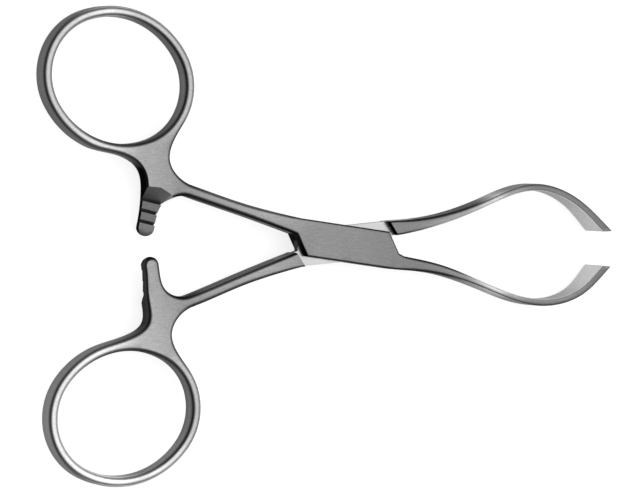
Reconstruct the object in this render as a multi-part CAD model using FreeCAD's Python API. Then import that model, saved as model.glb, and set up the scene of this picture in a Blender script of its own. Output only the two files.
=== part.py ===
"""Ring-handled towel clamp with a box lock, a ratchet and bowed jaws with wide blunt tips.

Three pieces: the box half, the tongue half and the pin they turn on. Millimetres, +Z up.
X runs along the clamp from the finger rings to the jaws. The origin is on the pin's axis, on the
lower flat face of the box lock. The clamp is drawn partly open, as it lies on a table.
"""
import FreeCAD, Part
import math
import os

Vec = FreeCAD.Vector

# Box lock: the box half is a flat block with a window through it from side to side
box_thick = 4.0            # across the two flat faces
box_wall = 1.3             # each wall above and below the window
box_width = 5.8            # across the block, at right angles to its length
box_lean = -8.5            # degrees, the block's length against the clamp's long axis
box_root = 8.6             # from the pin to where shank and jaw leave the block's outer side
box_throat = 9.1           # from the pin to the block's corner in the throat
throat_rise = 0.3          # that corner's height over the block's middle line
box_corner = 6.85          # from the pin to the block's sharp corner
box_edge = 0.2             # rounding of the block's edges

# Tongue: the thin middle of the other half, which turns inside the window
tongue_width = 5.7
tongue_lean = 4.8          # degrees, the tongue's length against the clamp's long axis
tongue_reach = 8.3         # radius of the tongue's round ends about the pin
tongue_play = 0.04         # gap between the tongue and each wall
window_play = 0.15         # gap between the tongue's round ends and those of the window
ring_shoulder_gap = 0.9    # shut clamp: between the block's end and the shoulder on the rings' side
jaw_shoulder_gap = 0.7     # the same on the jaws' side

# Pin
pin_diameter = 2.2
pin_play = 0.03            # running gap round the pin in the tongue, on the radius

# Handle of each half: finger ring, neck and ratchet bar, one flat forging with bevelled edges.
# The upper one is described. The other is the same forging, turned over.
arm_thick = 3.3
arm_edge = 0.5             # bevel round every edge of it
shank_start_x = -26.75     # middle of the shank's slim end, where it leaves the neck
shank_start_y = 8.55
shank_slim = 1.75          # width there
shank_slope = -18.5        # degrees, its direction there
ring_length = 24.0         # on the wire's middle line, along the oval
ring_width = 20.8          # across it
ring_end_tuck = 0.9        # the radius of the oval's two ends is this much under half its width
wire_width = 1.7
upper_ring_back = 12.1     # from the shank's start to each ring's centre, along X
lower_ring_back = 11.05
neck_length = 6.7          # from the shank's start to the ring's middle line, along Y
upper_ring_turn = -21.0    # degrees that each oval leans, outer end up
lower_ring_turn = -13.0
ring_leaves = (-33.5, 245.5)    # degrees from the X axis that the oval faces where the neck leaves it
waist_back = 3.35          # narrowest place of the neck, on the jaws' side
waist_up = 4.65
bend_back = 10.9           # bend of the neck's outer side, then its elbow above the bar
bend_up = 5.35
elbow_back = 7.75
elbow_up = 3.1

# Ratchet bar, measured from the shank's start
bar_back = 5.65
bar_drop = 0.65
bar_length = 6.4
bar_slant = 11.5           # degrees from the Y axis, towards the rings
bar_root_width = 3.6
bar_tip_width = 2.6
bar_gap = 0.1              # between the crests of the two bars
ramp_reach = 2.1           # from the bar's middle to the ramp's end on the jaws' side
ramp_rise = 0.6            # the ramp down to the teeth starts this far above the shank's start
tooth_slant = -7.5         # degrees, the teeth and the ramp against the clamp's long axis
tooth_count = 3
tooth_pitch = 1.6
tooth_depth = 0.75
first_tooth = 2.4          # from the top of the ramp to the first tooth

# Shanks between neck and box
shank_middle_x = -17.75
upper_shank_middle_y = 5.6
lower_shank_middle_y = -5.25
shank_middle_width = 1.87
lower_shank_end = 2.55     # width of the lower shank at its shoulder

# Jaws: flat strips on edge, bowed outwards, flared towards blunt tips
jaw_reach = 45.95          # from the pin to the middle of the grip face
upper_grip = 1.75          # degrees of each grip face's radial line about the pin
lower_grip = -5.2
upper_bow_share = 0.7345   # crest of each bow on the strip's middle line, as a share of the reach
upper_bow_y = 8.8
lower_bow_share = 0.7715
lower_bow_y = -9.95
upper_fall = 0.37          # share of the way down from the crest, 0.6 of the way along to the tip
lower_fall = 0.31
jaw_root_width = 2.35
jaw_slim = 1.1             # thickness of the strip from the middle of the bow to the tip
jaw_slim_share = 0.544     # where that thickness is reached, as a share of the reach
jaw_edge = 0.25            # bevel along the strip's four edges
jaw_waist_share = 0.5223   # where the strip has its lower height, and where its flare starts
jaw_waist_height = 4.2
flare_share = 0.74
tip_height = 6.6
grip_spare = 5.0           # depth of the cut that trims a jaw along its grip face

mid = box_thick / 2
pin_radius = pin_diameter / 2
tongue_thick = box_thick - 2 * (box_wall + tongue_play)
opening = upper_grip - lower_grip      # degrees that the drawn clamp stands open
upper_bow_x = upper_bow_share * jaw_reach
lower_bow_x = lower_bow_share * jaw_reach
jaw_slim_from = jaw_slim_share * jaw_reach
jaw_waist = jaw_waist_share * jaw_reach
flare_start = flare_share * jaw_reach


def at(x, y, z=0.0):
    return Vec(x, y, z)


def unit(dx, dy):
    length = math.hypot(dx, dy)
    return (dx / length, dy / length)


def heading(degrees):
    return (math.cos(math.radians(degrees)), math.sin(math.radians(degrees)))


def along(point, direction, distance):
    return (point[0] + direction[0] * distance, point[1] + direction[1] * distance)


def leftward(point, direction, distance):
    """Point moved to the left of a direction."""
    return along(point, (-direction[1], direction[0]), distance)


def between(a, b):
    return ((a[0] + b[0]) / 2, (a[1] + b[1]) / 2)


def turned(point, degrees):
    """Plan point turned about the pin."""
    c, s = heading(degrees)
    return (point[0] * c - point[1] * s, point[0] * s + point[1] * c)


def curve(points, start=None, end=None):
    """Smooth curve through plan points, with given directions at its ends."""
    spline = Part.BSplineCurve()
    places = [at(x, y) for x, y in points]
    if start is None:
        spline.interpolate(places)
    else:
        spline.interpolate(Points=places, InitialTangent=at(*start), FinalTangent=at(*end))
    return spline


def bend(start, way, end):
    """Arc that leaves a plan point in a given direction and ends at another, or a line if they agree."""
    chord = unit(end[0] - start[0], end[1] - start[1])
    across = way[0] * chord[1] - way[1] * chord[0]
    rise = math.dist(start, end) / 2 * math.tan(math.asin(across) / 2)
    if abs(rise) < 1e-4:
        return Part.makeLine(at(*start), at(*end))
    middle = leftward(between(start, end), chord, -rise)
    return Part.Arc(at(*start), at(*middle), at(*end)).toShape()


def side(points, start, end):
    """Side of a plan: arcs, tangent to each other, that follow the smooth curve through points."""
    spline = curve(points, start, end)
    places = [spline.parameter(at(*point)) for point in points]
    ways = [(spline.tangent(t)[0].x, spline.tangent(t)[0].y) for t in places]
    edges = []
    for a, b, a_way, b_way in zip(points, points[1:], ways, ways[1:]):
        gap = (b[0] - a[0], b[1] - a[1])
        turn = 2 * (1 - a_way[0] * b_way[0] - a_way[1] * b_way[1])
        lead = gap[0] * (a_way[0] + b_way[0]) + gap[1] * (a_way[1] + b_way[1])
        reach = math.dist(a, b) ** 2 / (math.sqrt(lead ** 2 + turn * math.dist(a, b) ** 2) + lead)
        meeting = between(along(a, a_way, reach), along(b, b_way, -reach))
        edges += [bend(a, a_way, meeting), bend(b, (-b_way[0], -b_way[1]), meeting)]
    return edges


def slab(points, low, high):
    """Straight-sided solid over a plan polygon, between two heights."""
    corners = [at(x, y, low) for x, y in points]
    face = Part.Face(Part.makePolygon(corners + corners[:1]))
    return face.extrude(at(0, 0, high - low))


def bar_section(centre, direction, width, height, bevel):
    """Wire of a bevelled rectangle that stands on the clamp's middle plane, across a direction."""
    side_way = at(-direction[1], direction[0])
    middle = at(centre[0], centre[1], mid)
    corners = []
    for sw, sh in ((1, 1), (-1, 1), (-1, -1), (1, -1)):
        on_side = middle + side_way * (sw * width / 2) + Vec(0, 0, sh * (height / 2 - bevel))
        on_flat = middle + side_way * (sw * (width / 2 - bevel)) + Vec(0, 0, sh * height / 2)
        corners += [on_side, on_flat] if sw == sh else [on_flat, on_side]
    return Part.makePolygon(corners + corners[:1])


# Finger ring, neck and ratchet bar, placed as on the upper half
shank_start = (shank_start_x, shank_start_y)
bar_root = (shank_start_x - bar_back, shank_start_y - bar_drop)
bar_way = heading(-90 - bar_slant)
bar_tip = along(bar_root, bar_way, bar_length)
ramp_middle = (bar_root[0], shank_start_y + ramp_rise)

# The oval is four arcs: two ends, and two sides with a larger radius
ring_end_radius = ring_width / 2 - ring_end_tuck
end_shift = ring_length / 2 - ring_end_radius
ring_side_radius = (end_shift ** 2 / ring_end_tuck + ring_width / 2 + ring_end_radius) / 2
side_shift = ring_side_radius - ring_width / 2
oval_join = math.degrees(math.atan2(side_shift, end_shift))


def oval_place(ring_back, ring_turn, grow, way):
    """Where the oval, grown by a distance, faces a direction, given in degrees from its long axis."""
    way = way % 360
    c, s = heading(way)
    if way < oval_join or way > 360 - oval_join:
        place = (end_shift + (ring_end_radius + grow) * c, (ring_end_radius + grow) * s)
    elif way < 180 - oval_join:
        place = ((ring_side_radius + grow) * c, (ring_side_radius + grow) * s - side_shift)
    elif way < 180 + oval_join:
        place = ((ring_end_radius + grow) * c - end_shift, (ring_end_radius + grow) * s)
    else:
        place = ((ring_side_radius + grow) * c, (ring_side_radius + grow) * s + side_shift)
    place = turned(place, ring_turn)
    return (shank_start_x - ring_back + place[0], shank_start_y + neck_length + ring_width / 2 + place[1])


def oval_arcs(ring_back, ring_turn, grow, start, end):
    """The oval's arcs from one direction round to another."""
    joins = [quarter + lean for quarter in (0, 180, 360) for lean in (-oval_join, oval_join)]
    stops = [start] + [way for way in joins if start < way < end] + [end]
    edges = []
    for a, b in zip(stops, stops[1:]):
        places = [at(*oval_place(ring_back, ring_turn, grow, way)) for way in (a, (a + b) / 2, b)]
        edges.append(Part.Arc(*places).toShape())
    return edges


def handle_plan(ring_back, ring_turn):
    """Outline of ring, neck and bar, with the stub of the shank on the jaws' side."""
    ways = [angle - ring_turn for angle in ring_leaves]
    inner, outer = [oval_place(ring_back, ring_turn, wire_width / 2, way) for way in ways]
    inner_way, outer_way = [heading(angle + 90) for angle in ring_leaves]
    way = heading(shank_slope)
    low = leftward(shank_start, way, -shank_slim / 2)
    high = leftward(shank_start, way, shank_slim / 2)
    root_out = leftward(bar_root, bar_way, -bar_root_width / 2)
    root_in = along(leftward(bar_root, bar_way, bar_root_width / 2), bar_way, 1.2)
    round_off = along(bar_tip, bar_way, -bar_tip_width / 2)
    tip_out = leftward(round_off, bar_way, -bar_tip_width / 2)
    tip_in = leftward(round_off, bar_way, bar_tip_width / 2)
    bend_place = (shank_start_x - bend_back, shank_start_y + bend_up)
    elbow = (shank_start_x - elbow_back, shank_start_y + elbow_up)
    waist = (shank_start_x - waist_back, shank_start_y + waist_up)
    edges = oval_arcs(ring_back, ring_turn, wire_width / 2, *ways)
    edges += side([outer, bend_place, elbow, root_out, tip_out], outer_way, bar_way)
    edges.append(Part.Arc(at(*tip_out), at(*bar_tip), at(*tip_in)).toShape())
    edges += side([tip_in, root_in, low], (-bar_way[0], -bar_way[1]), way)
    edges.append(Part.makeLine(at(*low), at(*high)))
    edges += side([high, waist, inner], (-way[0], -way[1]), inner_way)
    return Part.Wire(Part.__sortEdges__(edges))


def handle(ring_back, ring_turn):
    """The forging at full height, every edge bevelled but those of the shank's stub."""
    hole = Part.Face(Part.Wire(oval_arcs(ring_back, ring_turn, -wire_width / 2, oval_join, 360 + oval_join)))
    plan = Part.Face(handle_plan(ring_back, ring_turn)).cut(hole).Faces[0]
    body = plan.extrude(at(0, 0, arm_thick))
    body.translate(at(0, 0, mid - arm_thick / 2))
    stub = at(*shank_start)
    rims = []
    for edge in body.Edges:
        place = at(edge.CenterOfMass.x, edge.CenterOfMass.y)
        if edge.BoundBox.ZLength < 1e-6 and (place - stub).Length > shank_slim / 4:
            rims.append(edge)
    return body.makeChamfer(arm_edge, rims)


def with_ratchet(body):
    """The bar is cut down on its upper side: a ramp from full height, then saw teeth."""
    top = mid + arm_thick
    crest = mid - bar_gap / 2
    root = crest - tooth_depth
    profile = [(-first_tooth, top), (-first_tooth, mid + arm_thick / 2), (0, root), (0, crest)]
    for k in range(1, tooth_count):
        profile += [(k * tooth_pitch, root), (k * tooth_pitch, crest)]
    beyond = profile[-1][0] + bar_length
    profile += [(beyond, crest), (beyond, top)]
    across = heading(tooth_slant)
    down = (across[1], -across[0])
    start = along(along(ramp_middle, down, first_tooth), across, -bar_root_width)
    corners = [at(*along(start, down, s), z) for s, z in profile]
    face = Part.Face(Part.makePolygon(corners + corners[:1]))
    return body.cut(face.extrude(at(*across) * (bar_root_width + ramp_reach)))


def turned_over(body):
    """The same forging for the other half: half a turn about the clamp's long axis."""
    other = body.copy()
    other.rotate(at(0, 0, mid), Vec(1, 0, 0), 180)
    return other


# Box lock
def box_corners():
    """Plan of the block: outer corner and throat on the rings' side, then round anticlockwise."""
    half = box_width / 2
    ring_side = [(-box_root, half), (-box_throat, throat_rise), (-box_corner, -half)]
    jaw_side = [(-x, -y) for x, y in ring_side]
    return [turned(point, box_lean) for point in ring_side + jaw_side]


def block():
    """The box before its window is cut, with rounded edges where nothing joins it."""
    corners = box_corners()
    joints = [at(*between(corners[0], corners[1])), at(*between(corners[3], corners[4]))]
    body = slab(corners, 0.0, box_thick)
    rounded = []
    for edge in body.Edges:
        place = at(edge.CenterOfMass.x, edge.CenterOfMass.y)
        free = min((place - joint).Length for joint in joints) > box_edge
        if edge.BoundBox.ZLength < 1e-6 and free:
            rounded.append(edge)
    return body.makeFillet(box_edge, rounded)


def window():
    """Space between the walls, with round ends, open at both sides of the box."""
    height = box_thick - 2 * box_wall
    return Part.makeCylinder(tongue_reach + window_play, height, at(0, 0, box_wall))


def tongue():
    """Thin plate with parallel sides and round ends."""
    low = mid - tongue_thick / 2
    half = tongue_width / 2
    far = 2 * tongue_reach
    sides = [turned(point, tongue_lean) for point in ((-far, -half), (far, -half), (far, half), (-far, half))]
    plate = slab(sides, low, low + tongue_thick)
    return plate.common(Part.makeCylinder(tongue_reach, tongue_thick, at(0, 0, low)))


def shoulder(throat, corner, gap):
    """Line of a shoulder: the block's end moved out by a gap, and turned open with the tongue half."""
    way = unit(corner[0] - throat[0], corner[1] - throat[1])
    ends = [leftward(throat, way, -gap), leftward(corner, way, -gap)]
    ends = [along(ends[0], way, -box_width), along(ends[1], way, box_width)]
    return [turned(point, opening) for point in ends]


def recess():
    """Plan between the two shoulders, where the tongue half is thinned down to its tongue."""
    corners = box_corners()
    ring_side = shoulder(corners[1], corners[2], ring_shoulder_gap)
    jaw_side = shoulder(corners[4], corners[5], jaw_shoulder_gap)
    return ring_side + jaw_side


# Shanks
def shank(middle, middle_width, end, end_way, end_width):
    """Tapered bar from the neck to the lock, deeper and squarer towards the lock."""
    middle_way = unit(end[0] - shank_start_x, end[1] - shank_start_y)
    middle_height = (arm_thick + box_thick) / 2
    middle_edge = (arm_edge + box_edge) / 2
    sections = [
        bar_section(shank_start, heading(shank_slope), shank_slim, arm_thick, arm_edge),
        bar_section(middle, middle_way, middle_width, middle_height, middle_edge),
        bar_section(end, end_way, end_width, box_thick, box_edge),
    ]
    return Part.makeLoft(sections, True, False)


def upper_shank():
    corners = box_corners()
    way = unit(corners[0][0] - corners[1][0], corners[0][1] - corners[1][1])
    end = between(corners[0], corners[1])
    middle = (shank_middle_x, upper_shank_middle_y)
    return shank(middle, shank_middle_width, end, (way[1], -way[0]), math.dist(corners[0], corners[1]))


def lower_shank():
    """Drawn as an upper shank, for turning over. It runs on past its shoulder, which is cut later."""
    foot = turned((-box_root, -(tongue_width - lower_shank_end) / 2), tongue_lean)
    way = unit(foot[0] - shank_middle_x, foot[1] - lower_shank_middle_y)
    end = along(foot, way, box_wall)
    middle = (shank_middle_x, -lower_shank_middle_y)
    return shank(middle, shank_middle_width, (end[0], -end[1]), (way[0], -way[1]), lower_shank_end)


# Jaws
def jaw_height(x):
    """Height of the strip: the box's at its root, a waist, then a flare that steepens to the tip."""
    if x < jaw_waist:
        t = max(0.0, (x - box_root) / (jaw_waist - box_root))
        return box_thick + (jaw_waist_height - box_thick) * (3 * t ** 2 - 2 * t ** 3)
    t = max(0.0, (x - flare_start) / (jaw_reach - flare_start))
    return jaw_waist_height + (tip_height - jaw_waist_height) * t ** 1.8


def jaw_width(x):
    """Thickness of the strip, thinning quickly at first."""
    t = min(1.0, max(0.0, (x - box_root) / (jaw_slim_from - box_root)))
    return jaw_root_width + (jaw_slim - jaw_root_width) * (1.6 * t - 0.6 * t ** 2)


def jaw_line(roots, bow, fall, grip):
    """Middle line of the strip: from the root over the bow's crest to the grip face, and past it."""
    tip = turned((jaw_reach, 0.0), grip)
    root = roots[-1]

    def share(a, b, x, y):
        return (a[0] + (b[0] - a[0]) * x, a[1] + (b[1] - a[1]) * y)

    before_tip = share(bow, tip, 0.6, fall)
    beyond = along(tip, unit(tip[0] - before_tip[0], tip[1] - before_tip[1]), 2 * jaw_slim)
    return curve(roots + [share(root, bow, 0.265, 0.165), share(root, bow, 0.61, 0.62), bow,
                  before_tip, tip, beyond])


def jaw(root, lean, bow, fall, grip):
    """Loft through upright sections, cut off flat along the grip face's radial line."""
    line = jaw_line([along(root, heading(lean), -2 * box_wall), root], bow, fall, grip)
    count = 14
    sections = []
    for k in range(count):
        t = line.FirstParameter + (line.LastParameter - line.FirstParameter) * k / (count - 1)
        place = line.value(t)
        way = line.tangent(t)[0]
        edge = box_edge + (jaw_edge - box_edge) * k / (count - 1)
        sections.append(bar_section((place.x, place.y), (way.x, way.y),
                                        jaw_width(place.x), jaw_height(place.x), edge))
    strip = Part.makeLoft(sections, True, False)
    near, far = jaw_reach - grip_spare, jaw_reach + grip_spare
    depth = -grip_spare if bow[1] > 0 else grip_spare
    waste = [turned(point, grip) for point in ((near, 0), (far, 0), (far, depth), (near, depth))]
    return strip.cut(slab(waste, mid - tip_height, mid + tip_height))


# The three pieces
def box_half():
    root = turned((box_root, (jaw_root_width - box_width) / 2), box_lean)
    lower_jaw = jaw(root, box_lean, (lower_bow_x, lower_bow_y), lower_fall, lower_grip)
    body = with_ratchet(handle(upper_ring_back, upper_ring_turn))
    body = body.fuse([upper_shank(), block(), lower_jaw])
    body = body.cut(window())
    return body.cut(Part.makeCylinder(pin_radius, box_thick))


def tongue_half():
    shoulders = recess()
    root = turned((box_root, (tongue_width - jaw_root_width) / 2), tongue_lean)
    upper_jaw = jaw(root, tongue_lean, (upper_bow_x, upper_bow_y), upper_fall, upper_grip)
    body = turned_over(with_ratchet(handle(lower_ring_back, lower_ring_turn)).fuse(lower_shank()))
    low = mid - tongue_thick / 2
    thinned = [slab(shoulders, low - box_thick, low), slab(shoulders, low + tongue_thick, 2 * box_thick)]
    body = body.fuse([upper_jaw, tongue()]).cut(thinned)
    return body.cut(Part.makeCylinder(pin_radius + pin_play, box_thick))


def joint_pin():
    return Part.makeCylinder(pin_radius, box_thick)


def only_solid(shape):
    """The one solid of a piece, with the seams between its flat faces healed."""
    healed = shape.removeSplitter()
    return healed.Solids[0] if len(healed.Solids) == 1 else healed


if __name__ == "__main__":
    os.makedirs("parts", exist_ok=True)
    pieces = {"box_half": box_half, "tongue_half": tongue_half, "joint_pin": joint_pin}
    for name, make in pieces.items():
        solid = only_solid(make())
        solid.exportStep("parts/" + name + ".step")
        print(name, solid.ShapeType, solid.isValid(), round(solid.Volume, 1), "mm3")
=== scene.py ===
# %% [markdown]
# A ring-handled towel clamp, dressed in Blender
#
# The clamp is three pieces of satin stainless steel: a box half, a tongue half that passes through
# it, and the pin they turn on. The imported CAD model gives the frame, the bodies and the joint. Each
# half is made again here as one smooth skin, because a forging has soft rounded edges that run
# without a break from the ring to the jaw, and light on metal shows every one of them.

# %% The frame
import math

import bmesh
import bpy
import numpy as np
from mathutils import Matrix, Vector
from mathutils.geometry import delaunay_2d_cdt


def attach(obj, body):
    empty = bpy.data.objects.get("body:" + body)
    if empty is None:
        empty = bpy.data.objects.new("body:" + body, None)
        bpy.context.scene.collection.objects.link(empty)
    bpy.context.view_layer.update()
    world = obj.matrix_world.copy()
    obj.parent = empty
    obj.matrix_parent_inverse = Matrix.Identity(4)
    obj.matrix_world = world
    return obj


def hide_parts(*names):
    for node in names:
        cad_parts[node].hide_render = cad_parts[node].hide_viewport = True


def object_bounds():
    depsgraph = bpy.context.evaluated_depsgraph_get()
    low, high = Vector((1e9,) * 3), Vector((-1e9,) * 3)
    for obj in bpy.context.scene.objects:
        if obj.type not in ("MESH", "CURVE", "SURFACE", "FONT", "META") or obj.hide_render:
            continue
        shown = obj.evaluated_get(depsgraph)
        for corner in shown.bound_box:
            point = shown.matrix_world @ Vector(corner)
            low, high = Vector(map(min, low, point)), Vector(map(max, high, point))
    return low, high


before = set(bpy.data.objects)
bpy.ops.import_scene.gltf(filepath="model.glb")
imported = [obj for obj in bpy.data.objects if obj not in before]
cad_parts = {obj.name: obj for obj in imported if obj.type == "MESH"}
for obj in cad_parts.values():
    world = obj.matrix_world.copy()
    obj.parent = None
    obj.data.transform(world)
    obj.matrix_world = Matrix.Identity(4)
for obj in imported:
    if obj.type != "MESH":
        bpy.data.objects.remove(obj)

cad_box = [list(corner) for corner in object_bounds()]
print("CAD box in metres:", cad_box)

# %% [markdown]
# The camera
#
# The photograph looks down on the clamp from the rings' side, 25 degrees off the upright and with a
# long lens, so the walls that face the rings are seen beside the flat faces. The camera could be
# turned by hand until it looks right. Here it is placed by those two angles instead, at a distance
# where one pixel of the photograph is a known number of millimetres, and the lens follows from that.

# %% Camera
mm = 0.001
photo_width = 633                         # pixels, and 500 of them high
view_tilt = math.radians(25.0)            # off the upright, towards the rings
view_lean = math.radians(2.0)             # off the clamp's long axis
view_distance = 650.0                     # mm, from the point that is looked at
view_target = (-4.713, -0.939, 2.0)       # mm
mm_per_pixel = 0.1574                     # at that point

toward_camera = Vector((-math.sin(view_tilt) * math.cos(view_lean), math.sin(view_lean),
                        math.cos(view_tilt) * math.cos(view_lean)))
side_axis = Vector((0, 1, 0)).cross(toward_camera).normalized()
up_axis = toward_camera.cross(side_axis)

camera = bpy.data.objects.new("camera", bpy.data.cameras.new("camera"))
bpy.context.scene.collection.objects.link(camera)
turn = Matrix((side_axis, up_axis, toward_camera)).transposed()
place = (Vector(view_target) + view_distance * toward_camera) * mm
camera.matrix_world = Matrix.LocRotScale(place, turn, None)
camera.data.sensor_width = 36.0
camera.data.lens = camera.data.sensor_width * view_distance / (mm_per_pixel * photo_width)
camera.data.clip_start = 0.01
bpy.context.scene.camera = camera
bpy.context.scene.view_settings.view_transform = "Standard"
print("lens in mm:", round(camera.data.lens, 1))

# %% [markdown]
# Floor and light
#
# The photograph is cut out on white. The floor is a plain pale sheet, and for what the camera and
# the polished metal see of it most of its light is its own, so it reads as white and still keeps the
# clamp's shadow. Metal has no colour of its own to show, only its surroundings, so the room matters
# as much as the steel. One broad soft lamp hangs above the jaws' side, where the flat faces mirror it
# towards the camera, and a wide glow overhead lights them too. Fainter glows at both sides, beyond
# the jaws and behind the rings lift the walls, and the rest of the room is dim, so that the rounded
# edges are dark, as they are in the photograph.

# %% Floor
def links(material):
    """Node tree of a material, emptied, with two short helpers to add and join nodes."""
    material.use_nodes = True
    tree = material.node_tree
    tree.nodes.clear()

    def add(kind, **inputs):
        node = tree.nodes.new("ShaderNode" + kind)
        for name, value in inputs.items():
            node.inputs[name.replace("_", " ")].default_value = value
        return node

    def join(source, target):
        tree.links.new(source, target)

    return add, join


def flat_sheet(name, size, height):
    """Level square sheet: corners at plus and minus half the size."""
    half = size / 2
    corners = [(-half, -half, height), (half, -half, height), (half, half, height), (-half, half, height)]
    mesh = bpy.data.meshes.new(name)
    mesh.from_pydata(corners, [], [(0, 1, 2, 3)])
    sheet = bpy.data.objects.new(name, mesh)
    bpy.context.scene.collection.objects.link(sheet)
    return sheet


floor_own_light = 0.70          # added for camera and mirror rays, where 1 is white
floor_size = 3.0                # m

floor = flat_sheet("floor", floor_size, cad_box[0][2])
paper = bpy.data.materials.new("white_paper")
add, join = links(paper)
rays = add("LightPath")
either = add("Math")
either.operation = "MAXIMUM"
join(rays.outputs["Is Camera Ray"], either.inputs[0])
join(rays.outputs["Is Glossy Ray"], either.inputs[1])
any_ray = add("Math")
any_ray.operation = "MAXIMUM"
join(either.outputs[0], any_ray.inputs[0])
join(rays.outputs["Is Transmission Ray"], any_ray.inputs[1])
glow = add("Math")
glow.operation = "MULTIPLY"
glow.inputs[1].default_value = floor_own_light
join(any_ray.outputs[0], glow.inputs[0])
matt = add("BsdfDiffuse", Color=(0.85, 0.85, 0.85, 1))
shine = add("Emission", Color=(1, 1, 1, 1))
join(glow.outputs[0], shine.inputs["Strength"])
both = add("AddShader")
join(matt.outputs[0], both.inputs[0])
join(shine.outputs[0], both.inputs[1])
out = add("OutputMaterial")
join(both.outputs[0], out.inputs["Surface"])
floor.data.materials.append(paper)
print("floor:", floor_size, "m wide, at a height of", round(cad_box[0][2], 5), "m")

# %% Lamps and room
def soft_lamp(name, place, aim, width, height, power):
    """Rectangular lamp at a place in metres, turned to face a point."""
    lamp = bpy.data.objects.new(name, bpy.data.lights.new(name, "AREA"))
    bpy.context.scene.collection.objects.link(lamp)
    lamp.data.shape = "RECTANGLE"
    lamp.data.size = width
    lamp.data.size_y = height
    lamp.data.energy = power
    lamp.location = place
    lamp.rotation_euler = (Vector(aim) - Vector(place)).to_track_quat("-Z", "Y").to_euler()
    return lamp


lamp_place, lamp_width, lamp_height, lamp_power = (0.20, 0.03, 0.52), 0.40, 0.50, 0.25     # m and W
soft_lamp("broad_lamp", lamp_place, (0, 0, 0), lamp_width, lamp_height, lamp_power)

# Each glow of the room: the direction of its middle, how bright it is, and how far it spreads, as the
# cosine of the angle where it has died away
glows = [((0.05, 0.05, 1.00), 1.15, 0.70),
         ((0.25, 0.90, 0.35), 0.30, 0.30),
         ((0.25, -0.90, 0.35), 0.22, 0.30),
         ((0.92, 0.00, 0.38), 0.55, 0.55),
         ((-0.75, 0.00, 0.66), 0.16, 0.45)]
room_dim = 0.05              # strength of the room between the glows

room = bpy.data.worlds.new("room")
bpy.context.scene.world = room
room.use_nodes = True
sky = room.node_tree
sky.nodes.clear()
facing = sky.nodes.new("ShaderNodeTexCoord")
level = None
for middle, brightness, spread in glows:
    toward = sky.nodes.new("ShaderNodeVectorMath")
    toward.operation = "DOT_PRODUCT"
    toward.inputs[1].default_value = Vector(middle).normalized()
    sky.links.new(facing.outputs["Generated"], toward.inputs[0])
    fade = sky.nodes.new("ShaderNodeMapRange")
    fade.interpolation_type = "SMOOTHSTEP"
    fade.inputs["From Min"].default_value = spread
    fade.inputs["From Max"].default_value = 1.0
    fade.inputs["To Max"].default_value = brightness
    sky.links.new(toward.outputs["Value"], fade.inputs["Value"])
    total = sky.nodes.new("ShaderNodeMath")
    sky.links.new(fade.outputs["Result"], total.inputs[0])
    total.inputs[1].default_value = room_dim
    if level is not None:
        sky.links.new(level, total.inputs[1])
    level = total.outputs[0]
light = sky.nodes.new("ShaderNodeBackground")
sky.links.new(level, light.inputs["Strength"])
room_out = sky.nodes.new("ShaderNodeOutputWorld")
sky.links.new(light.outputs[0], room_out.inputs["Surface"])
print("room: one lamp of", lamp_power, "W and", len(glows), "glows")

# %% [markdown]
# Plan curves
#
# Every part of the clamp is drawn first in plan, as the die that forges it is cut. A freehand curve
# or a traced outline would drift from the CAD model, so the same named sizes are used again here, in
# millimetres. A side is a smooth spline through a few places, and a ring is an oval of four arcs.

# %% Sizes of the forging
# Box lock, in mm, and in degrees where a size is a lean or a turn
box_thick, box_wall, box_width, box_lean = 4.0, 1.3, 5.8, -8.5
box_root, box_throat, box_corner = 8.6, 9.1, 6.85        # from the pin, along the box
throat_rise = 0.3
tongue_width, tongue_lean, tongue_reach = 5.7, 4.8, 8.3
tongue_play, window_play = 0.04, 0.15
ring_shoulder_gap, jaw_shoulder_gap = 0.9, 0.7           # shut clamp, between a shoulder and the box
pin_radius, pin_play = 1.1, 0.03

# Handle
arm_thick = 3.3
shank_start, shank_slope, shank_slim = np.array([-26.75, 8.55]), -18.5, 1.95
ring_length, ring_width = 24.0, 20.8                     # on the wire's middle line
ring_end_tuck = 0.9
wire_width = 1.696           # 0.004 less than forged, to stay inside the CAD model's box
neck_length = 6.7
ring_leaves = (-33.5, 245.5)                             # directions the ring faces where the neck leaves it

# Heights and angles that follow
mid = box_thick / 2
tongue_thick = box_thick - 2 * (box_wall + tongue_play)
upper_grip, lower_grip = 1.75, -5.2                      # the grip faces' directions, seen from the pin
opening = upper_grip - lower_grip
print("drawn open by", round(opening, 2), "degrees; tongue", round(tongue_thick, 2), "mm thick")


# %% Helpers for plans
def heading(degrees):
    """Unit direction at an angle from X: cosine and sine."""
    return np.array([math.cos(math.radians(degrees)), math.sin(math.radians(degrees))])


def left_of(way):
    """A direction turned a quarter to the left."""
    return np.array([-way[1], way[0]])


def turned(points, degrees):
    """Plan points turned about the pin: each is x times the turned X axis plus y times the turned Y axis."""
    points = np.asarray(points, float)
    return points[..., :1] * heading(degrees) + points[..., 1:] * left_of(heading(degrees))


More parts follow.
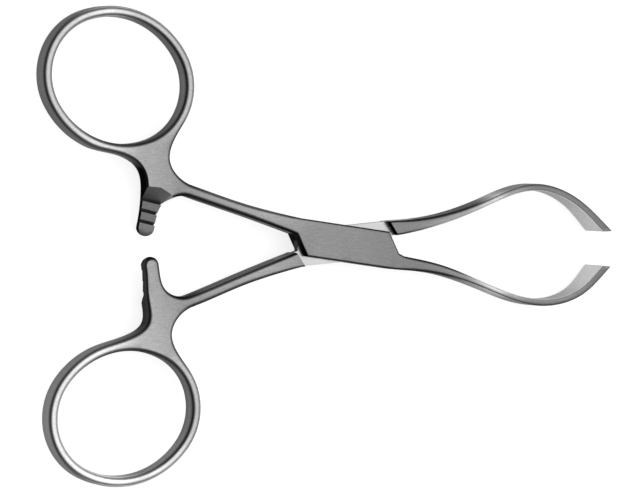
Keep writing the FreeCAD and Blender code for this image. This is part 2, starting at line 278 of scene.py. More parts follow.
def spline(points, start=None, end=None, step=0.25):
    """Smooth curve through points: a cubic on each span between neighbours.

    With spans h, the slopes m at the points solve, for each inner point,
    m[i-1]/h[i-1] + 2 m[i] (1/h[i-1] + 1/h[i]) + m[i+1]/h[i] = 3 (rise[i-1]/h[i-1]^2 + rise[i]/h[i]^2),
    which makes the bending continuous. The end slopes are given, or leave the ends unbent.
    """
    p = np.array(points, float)
    rise = np.diff(p, axis=0)
    h = np.hypot(rise[:, 0], rise[:, 1])
    n = len(p)
    system = np.zeros((n, n))
    wanted = np.zeros((n, 2))
    inner = np.arange(1, n - 1)
    system[inner, inner - 1] = 1 / h[:-1]
    system[inner, inner] = 2 / h[:-1] + 2 / h[1:]
    system[inner, inner + 1] = 1 / h[1:]
    wanted[1:-1] = 3 * (rise[:-1] / h[:-1, None] ** 2 + rise[1:] / h[1:, None] ** 2)
    system[0, 0], wanted[0] = 1, start if start is not None else 0
    system[-1, -1], wanted[-1] = 1, end if end is not None else 0
    if start is None:
        system[0, :2], wanted[0] = (2, 1), 3 * rise[0] / h[0]
    if end is None:
        system[-1, -2:], wanted[-1] = (1, 2), 3 * rise[-1] / h[-1]
    m = np.linalg.solve(system, wanted)
    knots = np.concatenate([[0], np.cumsum(h)])
    s = np.linspace(0, knots[-1], max(4, int(knots[-1] / step)) + 1)
    i = np.clip(np.searchsorted(knots, s, side="right") - 1, 0, n - 2)
    t = ((s - knots[i]) / h[i])[:, None]
    span = h[i][:, None]
    return ((2 * t**3 - 3 * t**2 + 1) * p[i] + (t**3 - 2 * t**2 + t) * span * m[i]
            + (3 * t**2 - 2 * t**3) * p[i + 1] + (t**3 - t**2) * span * m[i + 1])


def straight(a, b, step=0.25):
    """Evenly spaced points on a line from a to b."""
    a, b = np.asarray(a, float), np.asarray(b, float)
    count = max(1, int(np.hypot(*(b - a)) / step))
    return a + (b - a) * np.linspace(0, 1, count + 1)[:, None]


def arc(centre, radius, start, end, step=0.25):
    """Points of an arc between two angles in degrees: centre plus radius times cosine and sine."""
    count = max(6, int(abs(math.radians(end - start)) * radius / step))
    angle = np.radians(np.linspace(start, end, count + 1))
    return np.asarray(centre) + radius * np.column_stack([np.cos(angle), np.sin(angle)])


def oval(ring_back, ring_turn, grow, start, end):
    """Edge of a finger ring, grown by a distance, between two directions that it faces.

    Two small end arcs and two larger side arcs share their tangents: where the edge faces an angle,
    the point is that arc's centre plus its grown radius times the cosine and sine of the angle.
    """
    end_radius = ring_width / 2 - ring_end_tuck
    end_shift = ring_length / 2 - end_radius
    side_radius = (end_shift**2 / ring_end_tuck + ring_width / 2 + end_radius) / 2
    side_shift = side_radius - ring_width / 2
    join_angle = math.degrees(math.atan2(side_shift, end_shift))
    way = np.linspace(start, end, int(abs(end - start) / 1.5) + 1)
    c, s = np.cos(np.radians(way)), np.sin(np.radians(way))
    on_side = np.abs(np.abs((way + 180) % 360 - 180) - 90) < 90 - join_angle
    radius = np.where(on_side, side_radius, end_radius) + grow
    centre_x = np.where(on_side, 0, end_shift * np.sign(c))
    centre_y = np.where(on_side, -side_shift * np.sign(s), 0)
    place = turned(np.column_stack([centre_x + radius * c, centre_y + radius * s]), ring_turn)
    return place + shank_start + [-ring_back, neck_length + ring_width / 2]


print("finger ring:", ring_length - wire_width, "by", ring_width - wire_width, "mm clear inside")

# %% [markdown]
# The handle
#
# Ring, neck and ratchet bar are one flat forging, and both halves have the same one, turned over.
# Its edge is one line: round the ring, down the neck's outer side, round the bar's tip, up the bar
# and out along the shank, then back up the neck's waist to the ring.

# %% Edge of the handle
bar_back, bar_drop, bar_length = 5.7, 0.65, 6.45
bar_root_width, bar_tip_width = 3.6, 2.6
bar_root = shank_start - [bar_back, bar_drop]
corner_fill = 0.9            # mm along the bar, where the corner between bar and shank is filled
bend_back, bend_up, elbow_up, waist_up = 10.9, 5.35, 3.1, 4.65      # from the shank's start


def handle_sides(ring_back, ring_turn, bar_slant, neck, shank_low, shank_high):
    """Runs of the handle's edge, anticlockwise, from the shank's upper end round to its lower end.

    neck holds how far behind the shank's start the elbow and the waist lie. shank_low and shank_high
    are the far places of the shank's two sides, a middle one and the end.
    """
    bar_way = heading(-90 - bar_slant)
    inner_way, outer_way = [angle - ring_turn for angle in ring_leaves]
    ring = oval(ring_back, ring_turn, wire_width / 2, inner_way, outer_way)
    way = heading(shank_slope)
    low = shank_start - left_of(way) * shank_slim / 2
    high = shank_start + left_of(way) * shank_slim / 2
    round_off = bar_root + bar_way * (bar_length - bar_tip_width / 2)
    tip_out = round_off - left_of(bar_way) * bar_tip_width / 2
    tip_in = round_off + left_of(bar_way) * bar_tip_width / 2
    root_out = bar_root - left_of(bar_way) * bar_root_width / 2
    root_in = bar_root + left_of(bar_way) * bar_root_width / 2 + bar_way * corner_fill
    neck_bend = shank_start + [-bend_back, bend_up]
    elbow = shank_start + [-neck[0], elbow_up]
    waist = shank_start + [-neck[1], waist_up]
    tip_angle = math.degrees(math.atan2(*(tip_out - round_off)[::-1]))
    return [
        spline([shank_high[1], shank_high[0], high], None, -way),
        spline([high, waist, ring[0]], -way, heading(ring_leaves[0] + 90)),
        ring,
        spline([ring[-1], neck_bend, elbow, root_out, tip_out], heading(ring_leaves[1] + 90), bar_way),
        arc(round_off, bar_tip_width / 2, tip_angle, tip_angle + 180),
        spline([tip_in, root_in, low], -bar_way, way),
        spline([low, shank_low[0], shank_low[1]], way, None),
    ]


def finger_hole(ring_back, ring_turn):
    """Inner edge of the ring, clockwise, as a hole's is."""
    return oval(ring_back, ring_turn, -wire_width / 2, 360, 0)


# %% [markdown]
# The box half's outline
#
# The box is a flat block with slanted ends. Its shank leaves one corner and its jaw the opposite
# one, so the half is a stretched S. The jaw is a thin strip on edge: a middle line through a few
# places, and half its thickness to each side.

# %% Jaws
jaw_reach = 45.91            # 0.04 less than forged, for the same reason
jaw_root_width, jaw_slim = 2.35, 1.1
jaw_slim_from = 0.544 * jaw_reach
jaw_waist = 0.5223 * jaw_reach
flare_start = 0.74 * jaw_reach
jaw_waist_height, tip_height = 4.2, 6.6
knees = (0.265, 0.61)        # shares of the way from the root to the bow, where a jaw bends
before_grip = 0.6            # share of the way from the bow to the tip
near_grip = 0.8              # share of the reach, beyond which a jaw's side can meet the grip line
ring_swell = 0.2             # each way, where the round of the ring's wire stands proud of the flat arm


def jaw_width(x):
    """Thickness of the strip: it thins as 1.6 t - 0.6 t squared, t being the share of the way."""
    t = np.clip((x - box_root) / (jaw_slim_from - box_root), 0, 1)
    return jaw_root_width + (jaw_slim - jaw_root_width) * (1.6 * t - 0.6 * t**2)


def half_height(x):
    """Half of the clamp's height along X.

    The arm's from the ring to the shank's start, a straight rise to the box's, a smooth step to the
    jaw's waist (3 t^2 - 2 t^3), and a flare to the tip that grows as t to the power 1.8.
    """
    rise = np.interp(x, [-40, -35.5, shank_start[0], -box_root],
                     [arm_thick / 2 + ring_swell, arm_thick / 2, arm_thick / 2, box_thick / 2])
    t = np.clip((x - box_root) / (jaw_waist - box_root), 0, 1)
    step = (jaw_waist_height - box_thick) / 2 * (3 * t**2 - 2 * t**3)
    on_flare = np.clip((x - flare_start) / (jaw_reach - flare_start), 0, 1)
    flare = (tip_height - jaw_waist_height) / 2 * on_flare ** 1.8
    return rise + step + flare


# %% Sides of a jaw
tip_clearance = 0.5         # no points nearer to a sharp corner, where the rounded edge would cross itself


def clip_at_grip(side, grip):
    """A jaw's side from the root to where it crosses the grip face's line, a line through the pin.

    The height over that line changes sign there, and the crossing lies between the two points in
    proportion to their heights.
    """
    way = heading(grip)
    over = side @ left_of(way)
    crossed = (np.sign(over[1:]) != np.sign(over[:-1])) & (side[1:, 0] > near_grip * jaw_reach)
    last = int(np.argmax(crossed))
    share = over[last] / (over[last] - over[last + 1])
    end = side[last] + share * (side[last + 1] - side[last])
    kept = side[:last + 1]
    return np.vstack([kept[np.hypot(*(kept - end).T) > tip_clearance], end])


def jaw_sides(root, lean, bow, climb, fall, grip):
    """Left and right side of a jaw's strip, seen from the root.

    The middle line leaves the root with a lean, climbs to the bow by a share of its height at each
    knee, and falls by a share of it just before the tip.
    """
    tip = turned([jaw_reach, 0], grip)
    before_tip = bow + (tip - bow) * [before_grip, fall]
    beyond = tip + (tip - before_tip) / np.hypot(*(tip - before_tip)) * 2 * jaw_slim
    bends = [root + (bow - root) * [knee, share] for knee, share in zip(knees, climb)]
    line = spline([root, *bends, bow, before_tip, tip, beyond], heading(lean), None, 0.3)
    way = np.gradient(line, axis=0)
    way /= np.hypot(way[:, 0], way[:, 1])[:, None]
    across = np.column_stack([-way[:, 1], way[:, 0]]) * jaw_width(line[:, :1]) / 2
    return clip_at_grip(line + across, grip), clip_at_grip(line - across, grip)


# %% Outline of the box half
half_width = box_width / 2
ring_end = [(-box_root, half_width), (-box_throat, throat_rise), (-box_corner, -half_width)]
jaw_end = [(-x, -y) for x, y in ring_end]
corners = turned(ring_end + jaw_end, box_lean)

shank_middle = np.array([-17.75, 5.6])
shank_middle_width = 1.87
middle_way = (corners[0] + corners[1]) / 2 - shank_start
middle_way /= np.hypot(*middle_way)
middle_side = left_of(middle_way) * shank_middle_width / 2

box_jaw_root = turned([box_root, (jaw_root_width - box_width) / 2], box_lean)
low_bow = np.array([0.7715 * jaw_reach, -9.95])
jaw_left, jaw_right = jaw_sides(box_jaw_root, box_lean, low_bow, (0.165, 0.62), 0.31, lower_grip)
box_bar_slant, box_neck = 13.5, (7.95, 3.35)
box_ring = (11.95, -21.0)    # how far back, and how far turned
right_from, left_from = 3, 5         # the points of a jaw's sides before these lie inside the box
box_handle = handle_sides(*box_ring, box_bar_slant, box_neck, [shank_middle - middle_side, corners[1]],
                          [shank_middle + middle_side, corners[0]])
box_runs = box_handle + [
    straight(corners[1], corners[2]),
    straight(corners[2], corners[3]),
    np.vstack([corners[3], jaw_right[right_from:]]),
    straight(jaw_right[-1], jaw_left[-1], tip_clearance),
    np.vstack([jaw_left[left_from:][::-1], corners[4]]),
    straight(corners[4], corners[5]),
    straight(corners[5], corners[0]),
]
box_hole = finger_hole(*box_ring)
print("box half: runs", len(box_runs), "points", sum(len(run) for run in box_runs))

# %% [markdown]
# The tongue half's outline
#
# The other half's handle is the same forging turned over, so its edge is mirrored in plan and runs
# the other way. Between its two shoulders it is a thin tongue with round ends.

# %% Outline of the tongue half
def turned_over(points):
    """Half a turn about the clamp's long axis: y changes its sign, and the order is reversed."""
    return np.asarray(points)[::-1] * [1, -1]


half_tongue = tongue_width / 2
round_from = math.sqrt(tongue_reach**2 - half_tongue**2)      # from the pin to where the ends are round
low_front, high_front, high_back = turned([[round_from, -half_tongue], [round_from, half_tongue],
                                           [-round_from, half_tongue]], tongue_lean)
shank_end_width = 2.55
foot = turned([-box_root, -(tongue_width - shank_end_width) / 2], tongue_lean)
low_middle = np.array([-17.75, -5.25])
low_way = (foot - low_middle) / np.hypot(*(foot - low_middle))
low_side = left_of(low_way) * shank_middle_width / 2
foot_side = left_of(low_way) * shank_end_width / 2

reach_angle = math.degrees(math.asin(half_tongue / tongue_reach))
inner_angle = math.degrees(math.asin((half_tongue - jaw_root_width) / tongue_reach))
shank_angle = math.degrees(math.asin((half_tongue - shank_end_width) / tongue_reach))
tongue_jaw_root = turned([box_root, (tongue_width - jaw_root_width) / 2], tongue_lean)
high_bow = np.array([0.7345 * jaw_reach, 8.65])
up_left, up_right = jaw_sides(tongue_jaw_root, tongue_lean, high_bow, (0.15, 0.57), 0.37, upper_grip)

low_corner = foot - foot_side
high_corner = turned(tongue_reach * heading(180 + shank_angle), tongue_lean)
tongue_bar_slant, tongue_neck = 10.0, (7.4, 3.05)
tongue_ring = (11.05, -13.0)
drawn_over = handle_sides(*tongue_ring, tongue_bar_slant, tongue_neck,
                          [(low_middle + low_side) * [1, -1], high_corner * [1, -1]],
                          [(low_middle - low_side) * [1, -1], low_corner * [1, -1]])
tongue_handle = [turned_over(run) for run in drawn_over[::-1]]
jaw_mouth = turned(tongue_reach * heading(inner_angle), tongue_lean)
tongue_runs = tongue_handle + [
    straight(low_corner, low_front),
    arc((0, 0), tongue_reach, tongue_lean - reach_angle, tongue_lean + inner_angle),
    np.vstack([jaw_mouth, up_right[right_from:]]),
    straight(up_right[-1], up_left[-1], tip_clearance),
    np.vstack([up_left[::-1], high_front]),
    straight(high_front, high_back),
    arc((0, 0), tongue_reach, 180 + tongue_lean - reach_angle, 180 + tongue_lean + shank_angle),
]
tongue_hole = turned_over(finger_hole(*tongue_ring))
print("tongue half: runs", len(tongue_runs), "points", sum(len(run) for run in tongue_runs))

# %% [markdown]
# From outline to skin
#
# A flat plate with a bevel looks machined. A forging's edge is a soft quarter of an ellipse, wide
# and tall on the rings and small on the box. So the edge line is carried inwards and upwards along
# such a quarter, row by row, and the flat faces close the space that is left.

# %% Skin of a half
rim_rows = 6


def side_steps(run):
    """Inward unit step at each point of a run: its direction turned a quarter to the left."""
    way = np.gradient(run, axis=0)
    way /= np.hypot(way[:, 0], way[:, 1])[:, None]
    return np.column_stack([-way[:, 1], way[:, 0]])


def loop(runs):
    """Joins runs head to tail into a closed loop. At a joint the inward step is the mitre of both
    sides, their sum over one plus their product, which keeps the offset even round a corner."""
    steps = [side_steps(run) for run in runs]
    points, ways = [], []
    for k, run in enumerate(runs):
        before, after = steps[k - 1][-1], steps[k][0]
        corner = (before + after) / (1 + before @ after)
        points.append(run[:-1])
        ways.append(np.vstack([corner, steps[k][1:-1]]))
    return np.vstack(points), np.vstack(ways)


def rim(points, steps, radii):
    """Rows of the rounded edge, from the top face's rim down the side to the bottom face's rim.

    Row angle a runs from a quarter turn to none: the point moves in by rx (1 - cos a), and its
    height over the middle plane is the half height less rz (1 - sin a). The lower rows mirror it.
    """
    rx, rz = radii(points, steps)
    a = np.linspace(math.pi / 2, 0, rim_rows)[:, None]
    plan = points[None] + steps[None] * (rx[None] * (1 - np.cos(a)))[..., None]
    rise = half_height(points[:, 0])[None] - rz[None] * (1 - np.sin(a))
    top = np.concatenate([plan, (mid + rise)[..., None]], axis=2)
    bottom = np.concatenate([plan, (mid - rise)[..., None]], axis=2)
    return np.concatenate([top, bottom[::-1]])


def band(first, rows, count):
    """Quads between neighbouring rows of a closed loop, numbered from a first vertex."""
    r, c = np.meshgrid(np.arange(rows - 1), np.arange(count), indexing="ij")
    a = first + r * count + c
    b = first + r * count + (c + 1) % count
    return np.stack([a, a + count, b + count, b], axis=2).reshape(-1, 4)


# %% Mesh of a half
def skin(name, runs, hole, radii):
    """Closed mesh of one half: rims of its outline and its finger hole, and two flat faces."""
    outer_points, outer_steps = loop(runs)
    hole_points, hole_steps = loop([hole])
    outer = rim(outer_points, outer_steps, radii)
    inner = rim(hole_points, hole_steps, radii)
    rows, n = outer.shape[:2]
    m = inner.shape[1]
    verts = np.vstack([outer.reshape(-1, 3), inner.reshape(-1, 3)])
    face_rim = np.concatenate([np.arange(n), rows * n + np.arange(m)])
    back_rim = np.concatenate([(rows - 1) * n + np.arange(n), rows * n + (rows - 1) * m + np.arange(m)])
    plan = [Vector(p) for p in verts[face_rim][:, :2].tolist()]
    areas = [list(range(n)), list(range(n + m - 1, n - 1, -1))]
    # The triangles that belong to the outline's area and not to the hole's are metal
    flat = delaunay_2d_cdt(plan, [], areas, 0, 1e-7, True)
    origin = np.array([ids[0] if ids else -1 for ids in flat[3]])
    on_metal = np.array([ids == [0] for ids in flat[5]])
    tris = origin[np.array(flat[2])[on_metal]]
    if tris.min() < 0:
        raise ValueError(name + ": the rounded edge crosses itself")
    print(name, "rim points", n + m, "triangles", len(tris))
    faces = [band(0, rows, n), band(rows * n, rows, m)]
    tri_faces = [face_rim[tris], back_rim[tris][:, ::-1]]
    mesh = bpy.data.meshes.new(name)
    mesh.from_pydata((verts * mm).tolist(), [], np.vstack(faces).tolist() + np.vstack(tri_faces).tolist())
    piece = bpy.data.objects.new(name, mesh)
    bpy.context.scene.collection.objects.link(piece)
    return piece


# %% Rounded edges
# Width and height of the rounded edge, at places along X
edge_places = [-40, -33, -26.75, -17, -10, -8.0, 7.5, 12, 22, 32, 42, 45]
edge_widths = [0.66, 0.66, 0.66, 0.62, 0.50, 0.34, 0.34, 0.48, 0.45, 0.30, 0.28, 0.16]
edge_heights = [0.95, 1.00, 1.00, 0.85, 0.60, 0.40, 0.40, 0.55, 0.60, 0.45, 0.40, 0.20]
behind_shank = 26            # necks and bars lie further back than this
neck_reach = 15              # and nearer to the clamp's middle line than this
neck_blend = 3               # mm over which both limits fade


def fade_in(value, start, width):
    """0 up to a start, 1 from a width beyond it, and a straight rise between."""
    return np.clip((value - start) / width, 0, 1)


def edge_radii(points, steps):
    """Width and height of the rounded edge by place along the clamp.

    On the outer sides of necks and bars it is tighter, but for the lower neck, where it is wider.
    """
    x, y = points.T
    width = np.interp(x, edge_places, edge_widths)
    neck = fade_in(-x, behind_shank, neck_blend) * fade_in(-np.abs(y), -neck_reach, neck_blend)
    neck *= np.clip(steps[:, 0], 0, 1)
    change = np.where(y > 0, -0.55, np.interp(-y, [7, 12], [-0.4, 0.2]))
    return width * (1 + change * neck), np.interp(x, edge_places, edge_heights)


box_skin = skin("box_half_skin", box_runs, box_hole, edge_radii)
tongue_skin = skin("tongue_half_skin", tongue_runs, tongue_hole, edge_radii)

# %% [markdown]
# Satin steel
#
# Such a clamp is blasted with fine beads and then lightly brushed, so that it doesn't dazzle: a
# clean metal with a fine grain and faint marks along its length. Only the tongue is polished. One
# plain grey would look dull here, because metal shows nothing but its surroundings, and those of
# the photograph can't be seen. So light and shade are painted into the steel's grey, which changes
# slowly along the clamp and stands for the studio's unseen light and dark, and each piece carries a
# painted shade that darkens it where its edge turns over. A low tint on the grazing reflections keeps
# the walls dark. Grain and brush marks are procedural noise, and the marks also make a very fine
# relief.

# %% Steel
grain_scale = 3200.0                  # grains per metre
brush_scale = (500, 6500, 6500)       # marks per metre: long along X, fine across
mark_depth = 0.00002                  # m
marks_smooth, marks_rough = 0.05, 0.07        # how far the marks lower and raise the roughness
grazing_tint = (0.35, 0.35, 0.35, 1)


def colour_sockets(sockets):
    """The sockets of a Mix node that carry colour."""
    return [socket for socket in sockets if socket.type == "RGBA"]


def product(add, join, colour, factor):
    """Colour of a Mix node that multiplies two sockets."""
    mix = add("Mix", Factor=1.0)
    mix.data_type = "RGBA"
    mix.blend_type = "MULTIPLY"
    first, second = colour_sockets(mix.inputs)
    join(colour, first)
    join(factor, second)
    return colour_sockets(mix.outputs)[0]


def spread(add, join, noise, low, high):
    """Carries the middle of a noise's values, 0.3 to 0.7, to between two levels."""
    levels = add("MapRange", From_Min=0.3, From_Max=0.7, To_Min=low, To_Max=high)
    join(noise.outputs["Fac"], levels.inputs["Value"])
    return levels.outputs["Result"]


# %% A steel finish
def steel(name, stops, roughness, grain_depth, bump_strength, with_painted_shade=True):
    """Steel: grey with painted light along the clamp, times the painted "shade" if asked, with grain and
    brush marks.
    """
    material = bpy.data.materials.new(name)
    add, join = links(material)
    place = add("TexCoord")
    apart = add("SeparateXYZ")
    join(place.outputs["Object"], apart.inputs[0])
    along = add("MapRange", From_Min=stops[0][0] * mm, From_Max=stops[-1][0] * mm)
    join(apart.outputs["X"], along.inputs["Value"])
    face = add("ValToRGB")
    face.color_ramp.interpolation = "EASE"
    length = stops[-1][0] - stops[0][0]
    for k, (x, grey) in enumerate(stops):
        element = face.color_ramp.elements[k] if k < 2 else face.color_ramp.elements.new(1.0)
        element.position = (x - stops[0][0]) / length
        element.color = (grey, grey, grey, 1)
    join(along.outputs["Result"], face.inputs["Fac"])
    colour = face.outputs["Color"]
    if with_painted_shade:
        # painted shade and highlight: the grey times the piece's "shade" attribute
        shade = add("Attribute")
        shade.attribute_name = "shade"
        colour = product(add, join, colour, shade.outputs["Fac"])
    grain = add("TexNoise", Scale=grain_scale, Detail=3.0, Roughness=0.6)
    join(place.outputs["Object"], grain.inputs["Vector"])
    colour = product(add, join, colour, spread(add, join, grain, 1 - grain_depth, 1 + grain_depth))
    brushed = add("Mapping")
    brushed.inputs["Scale"].default_value = brush_scale
    join(place.outputs["Object"], brushed.inputs["Vector"])
    marks = add("TexNoise", Scale=1.0, Detail=2.0)
    join(brushed.outputs["Vector"], marks.inputs["Vector"])
    bump = add("Bump", Strength=bump_strength, Distance=mark_depth)
    join(marks.outputs["Fac"], bump.inputs["Height"])
    body = add("BsdfPrincipled", Metallic=1.0, Specular_Tint=grazing_tint)
    join(colour, body.inputs["Base Color"])
    rough = spread(add, join, marks, roughness - marks_smooth, roughness + marks_rough)
    join(rough, body.inputs["Roughness"])
    join(bump.outputs["Normal"], body.inputs["Normal"])
    out = add("OutputMaterial")
    join(body.outputs[0], out.inputs["Surface"])
    return material


# %% The four finishes
# The flats' grey at places along X, in mm: painted light and shade for the studio's light and dark
painted_light_stops = [(-50, 0.52), (-42, 0.66), (-34, 0.33), (-28, 0.26), (-20, 0.31), (-14, 0.33), (-4, 0.245),
               (14, 0.20), (20, 0.25), (26, 0.46), (29, 0.23), (33, 0.14), (46, 0.14)]
satin = steel("satin_steel", painted_light_stops, 0.30, 0.10, 0.25)
milled = steel("milled_steel", [(-40, 0.19), (-20, 0.19)], 0.40, 0.08, 0.10)
polished = steel("polished_steel", [(-12, 0.53), (12, 0.53)], 0.24, 0.02, 0.01)
pin_steel = steel("pin_steel", [(-12, 0.235), (12, 0.235)], 0.30, 0.10, 0.25, with_painted_shade=False)
print("finishes:", [finish.name for finish in (satin, milled, polished, pin_steel)])

# %% [markdown]
# Cuts
#
# The window through the box, the step down to the tongue, the ratchet's teeth and the pin's hole are
# all milled or drilled on the real clamp after forging. Here they are cut the same way, by a solid
# tool taken off with an exact Boolean, because that gives crisp edges where the real ones are crisp.

# %% Cutting tools
def loft(rings):
    """Closed solid through flat polygons of the same number of points, in mm."""
    rings = np.asarray(rings, float)
    rows, n = rings.shape[:2]
    k = np.arange(n)
    mesh = bpy.data.meshes.new("tool")
    mesh.from_pydata((rings.reshape(-1, 3) * mm).tolist(), [],
                     [k[::-1].tolist(), (k + (rows - 1) * n).tolist()] + band(0, rows, n).tolist())
    mesh.update()
    return mesh


def plate(plan, low, high):
    """Upright prism over a plan polygon, between two heights."""
    return loft([np.column_stack([plan, np.full(len(plan), height)]) for height in (low, high)])


def outward(mesh):
    """Faces of a closed mesh turned to point out of it."""
    work = bmesh.new()
    work.from_mesh(mesh)
    bmesh.ops.recalc_face_normals(work, faces=work.faces)
    work.to_mesh(mesh)
    work.free()


def cut(piece, tools):
    """Takes each tool off the piece, keeps the result as its mesh, and leaves the tool's finish there."""
    outward(piece.data)
    piece.data.materials.append(satin)
    for mesh, finish in tools:
        outward(mesh)
        mesh.materials.append(finish)
        tool = bpy.data.objects.new("tool", mesh)
        bpy.context.scene.collection.objects.link(tool)
        modifier = piece.modifiers.new("cut", "BOOLEAN")
        modifier.operation = "DIFFERENCE"
        modifier.solver = "EXACT"
        modifier.material_mode = "TRANSFER"
        modifier.object = tool
        bpy.context.view_layer.update()
        result = bpy.data.meshes.new_from_object(piece.evaluated_get(bpy.context.evaluated_depsgraph_get()))
        piece.modifiers.clear()
        piece.data = result
        bpy.data.objects.remove(tool)
    print(piece.name, "faces after the cuts:", len(piece.data.polygons))


# %% Ratchet tool
first_groove, tooth_count, tooth_pitch = 1.2, 3, 1.68    # mm from the bar's root, and mm from tooth to tooth
bar_gap = 0.1                                            # between the two bars when the clamp is shut
groove_width, land_fall = 0.55, 0.12                     # along the bar, and a tooth top's fall in height
box_tooth_depth, tongue_tooth_depth = 0.65, 0.25
ramp_line = [(-4, -0.9), (-1.6, -1.1), (0.2, -1.35), (2.0, -0.75), (3.6, 0.05)]   # across and along the bar
nose = [(1.0, 0.0), (1.5, 0.14), (1.9, 0.45), (2.3, 1.1)]          # beyond the last groove, and how far down


def ratchet_tool(bar_slant, tooth_depth, over):
    """Saw-toothed solid that mills the bar down: a ramp from full height, the teeth, a round nose.

    One profile, along the bar and in height, is carried across it. Only the ramp's top moves along
    the bar on the way, so that the ramp runs out through the corner between the bar and the shank.
    Turned over, it mills the other half's bar from below.
    """
    top = mid + arm_thick
    crest = mid - bar_gap / 2
    grooves = first_groove + tooth_pitch * np.arange(tooth_count)
    teeth = [place for g in grooves for place in
             [(g - groove_width, crest - land_fall), (g, crest - tooth_depth), (g, crest)]]
    tail = [(grooves[-1] + on, crest - fall) for on, fall in nose] + [(2 * bar_length, crest - nose[-1][1]),
                                                                     (2 * bar_length, top)]
    bar_way = heading(-90 - bar_slant)
    across = left_of(bar_way)
    rings = []
    for aside, ramp_top in ramp_line:
        profile = np.array([(ramp_top, top), (ramp_top, mid + arm_thick / 2)] + teeth + tail)
        rings.append(np.column_stack([bar_root + aside * across + profile[:, :1] * bar_way, profile[:, 1]]))
    rings = np.array(rings)
    if over:
        rings = rings * [1, -1, -1] + [0, 0, 2 * mid]
    return loft(rings)


def disc(radius, low, high, count=128):
    """Round plate about the pin."""
    angle = np.arange(count) * 2 * math.pi / count
    return plate(radius * np.column_stack([np.cos(angle), np.sin(angle)]), low, high)


# %% Cut the box half
through = 1.0                # mm that a drill stands out on each side
drill_play = 0.002           # mm, so that the pin's skin and the hole's don't coincide
cut(box_skin, [(disc(tongue_reach + window_play, box_wall, box_thick - box_wall), satin),
               (ratchet_tool(box_bar_slant, box_tooth_depth, False), milled),
               (disc(pin_radius + drill_play, -through, box_thick + through), satin)])


# %% Cut the tongue half
def shoulder(throat, corner, gap):
    """Line of a shoulder: the box's end moved out by a gap, and turned open with this half."""
    way = (corner - throat) / np.hypot(*(corner - throat))
    ends = [throat - left_of(way) * gap - way * box_width, corner - left_of(way) * gap + way * box_width]
    return turned(ends, opening)


recess = np.vstack([shoulder(corners[1], corners[2], ring_shoulder_gap),
                    shoulder(corners[4], corners[5], jaw_shoulder_gap)])
low_face = mid - tongue_thick / 2
cut(tongue_skin, [(plate(recess, low_face - box_thick, low_face), satin),
                  (plate(recess, low_face + tongue_thick, 2 * box_thick), satin),
                  (ratchet_tool(tongue_bar_slant, tongue_tooth_depth, True), milled),
                  (disc(pin_radius + pin_play, -through, box_thick + through), satin)])

# %% [markdown]
# Painted shade and finish
#
# On a forged steel part light falls off quickly where an edge turns over, and the flats stay bright.
# The photograph's studio can't be rebuilt from its reflections, and painting each spot would look
# right from one side only. So the painted shade and painted highlight follow the metal itself: which
# way the surface faces, and which part of the clamp it is. It is kept at each face's corners, so
# that a sharp edge stays sharp in it.

# %% Painted shade by place
# Painted shade: the share of its grey that the steel keeps, by how far upright its normal is
upright_places, upright_shades = [0.00, 0.30, 0.60, 0.84, 0.97], [0.42, 0.22, 0.06, 0.30, 1.00]
# Milled faces' painted shade and highlight by how upright they are, and the pads' painted highlight
milled_places, milled_shades = [0.30, 0.50, 0.85, 0.97], [0.6, 1.7, 1.7, 1.0]
pad_painted_highlight = 4.6              # painted highlight of the jaws' ground inner faces


def handle_shade(shade, x, y, normal):
    """Painted shade and painted highlight of rings, necks, bars and shanks.

    Painted shade darkens the walls of the necks and bars. Painted highlight lightens a ring's edges but
    where they face its back, and the shanks' upper edges. The rings' fronts and the lower handle are
    lightened with painted light too.
    """
    upright = np.abs(normal[:, 2])
    back = fade_in(-x, behind_shank, neck_blend)
    bar_wall_painted_shade = fade_in(-np.abs(y), -13.5, 1.5) * back
    # painted shade on the walls of the necks and bars
    shade = shade * (1 - np.where(y > 0, 0.9, 0.6) * bar_wall_painted_shade * fade_in(-upright, -0.9, 0.2))
    ring = fade_in(np.abs(y), 16, 4)
    facing_front = np.clip(normal[:, 0] * 2, 0, 1)
    facing_back = np.clip(-normal[:, 0] * 1.5, 0, 1)
    # painted highlight on ring edges, shank upper edges, ring fronts and the lower handle
    ring_edge_painted_light = ring * (1 - facing_back) * (0.5 + 0.4 * facing_front)
    shank_edge_painted_light = 0.55 * normal[:, 1] * fade_in(x, -28, 4) * fade_in(-x, 8, 4)
    shade = np.maximum.reduce([shade, ring_edge_painted_light, shank_edge_painted_light])
    ring_front_painted_highlight = 1 + ring * np.interp(x, [-44, -32], [0, 0.7])
    return shade * ring_front_painted_highlight * (1 + np.interp(y, [-30, -18, -6], [0.5, 0.25, 0]) * back)


def jaw_shade(shade, x, y, normal):
    """Painted light and painted highlight of the jaws.

    Painted light keeps their edges lighter than the handle's, and their pads, ground faces whose normals
    point to the clamp's middle line, carry a painted highlight that makes them brighter than the rest.
    """
    # painted light on the jaws' edges, and painted highlight on their pads
    jaw_edge_painted_light = (1.45 - 0.6 * np.abs(normal[:, 2])) * fade_in(x, np.where(y > 0, 22, 17), 4)
    shade = np.maximum(shade, jaw_edge_painted_light)
    inward = np.clip(-np.sign(y) * normal[:, 1] / 0.6, 0, 1)
    pad = fade_in(x, np.where(y > 0, 9, 19), 6) * inward
    return shade + (pad_painted_highlight - shade) * pad


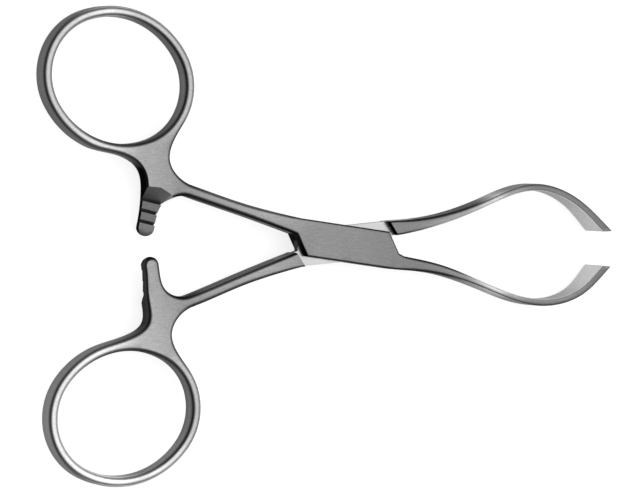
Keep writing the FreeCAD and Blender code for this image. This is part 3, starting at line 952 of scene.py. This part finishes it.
# %% Write the shade
def mark_shade(mesh):
    """Writes the face corners' painted "shade": by the normal's upright share, then by the part of the
    clamp.

    Painted shade makes the box's ends and shoulders, which face the rings, darkest. Milled faces have their
    own painted shade and highlight.
    """
    normal = np.empty(len(mesh.loops) * 3, np.float32)
    mesh.corner_normals.foreach_get("vector", normal)
    normal = normal.reshape(-1, 3)
    corner = np.empty(len(mesh.loops), np.int32)
    mesh.loops.foreach_get("vertex_index", corner)
    co = np.empty(len(mesh.vertices) * 3, np.float32)
    mesh.vertices.foreach_get("co", co)
    x, y = co.reshape(-1, 3)[corner, :2].T / mm
    upright = np.abs(normal[:, 2])
    # painted shade on the walls of the box's ends and shoulders that face the rings
    end_wall_painted_shade = np.interp(np.abs(x), [5, 7, 12, 14], [0, 1, 1, 0]) * np.clip(-normal[:, 0] * 2, 0, 1)
    shade = np.interp(upright, upright_places, upright_shades) * (1 - 0.7 * end_wall_painted_shade)
    shade = jaw_shade(handle_shade(shade, x, y, normal), x, y, normal)
    finish = np.empty(len(mesh.polygons), np.int32)
    mesh.polygons.foreach_get("material_index", finish)
    sides = np.empty(len(mesh.polygons), np.int32)
    mesh.polygons.foreach_get("loop_total", sides)
    names = np.array([material.name for material in mesh.materials])
    on_milled = np.repeat(names[finish] == "milled_steel", sides)
    shade[on_milled] = np.interp(upright[on_milled], milled_places, milled_shades)
    mesh.attributes.new("shade", "FLOAT", "CORNER").data.foreach_set("value", shade.astype(np.float32))
    print("shade from", round(float(shade.min()), 2), "to", round(float(shade.max()), 2))


# %% Finish of the pieces
tongue_region = 12           # mm from the pin along X, within which the tongue's faces lie
smooth_up_to = 32            # degrees between faces that still look smooth
flats_first = 60             # how much the large faces bend the normals to their own


def finish_piece(piece, body, *nodes):
    """Smooth shading up to an angle, even normals on the flats, and the body it rides on."""
    piece.data.shade_smooth()
    piece.data.set_sharp_from_angle(angle=math.radians(smooth_up_to))
    even = piece.modifiers.new("even_normals", "WEIGHTED_NORMAL")
    even.keep_sharp = True
    even.weight = flats_first
    mark_shade(piece.data)
    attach(piece, body)
    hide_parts(*nodes)


# %% Polish the tongue and put the pieces on their bodies
centre = np.empty(len(tongue_skin.data.polygons) * 3)
tongue_skin.data.polygons.foreach_get("center", centre)
centre = centre.reshape(-1, 3) / mm
finish_of = np.empty(len(tongue_skin.data.polygons), np.int32)
tongue_skin.data.polygons.foreach_get("material_index", finish_of)
on_tongue = (np.abs(centre[:, 2] - mid) < tongue_thick / 2 + 0.01) & (np.abs(centre[:, 0]) < tongue_region)
finish_of[on_tongue] = len(tongue_skin.data.materials)
tongue_skin.data.materials.append(polished)
tongue_skin.data.polygons.foreach_set("material_index", finish_of)
print("finishes:", [[m.name for m in piece.data.materials] for piece in (box_skin, tongue_skin)])

finish_piece(box_skin, "box_half", "box_half")
finish_piece(tongue_skin, "tongue_half", "tongue_half")
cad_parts["joint_pin"].data.materials.clear()
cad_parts["joint_pin"].data.materials.append(pin_steel)
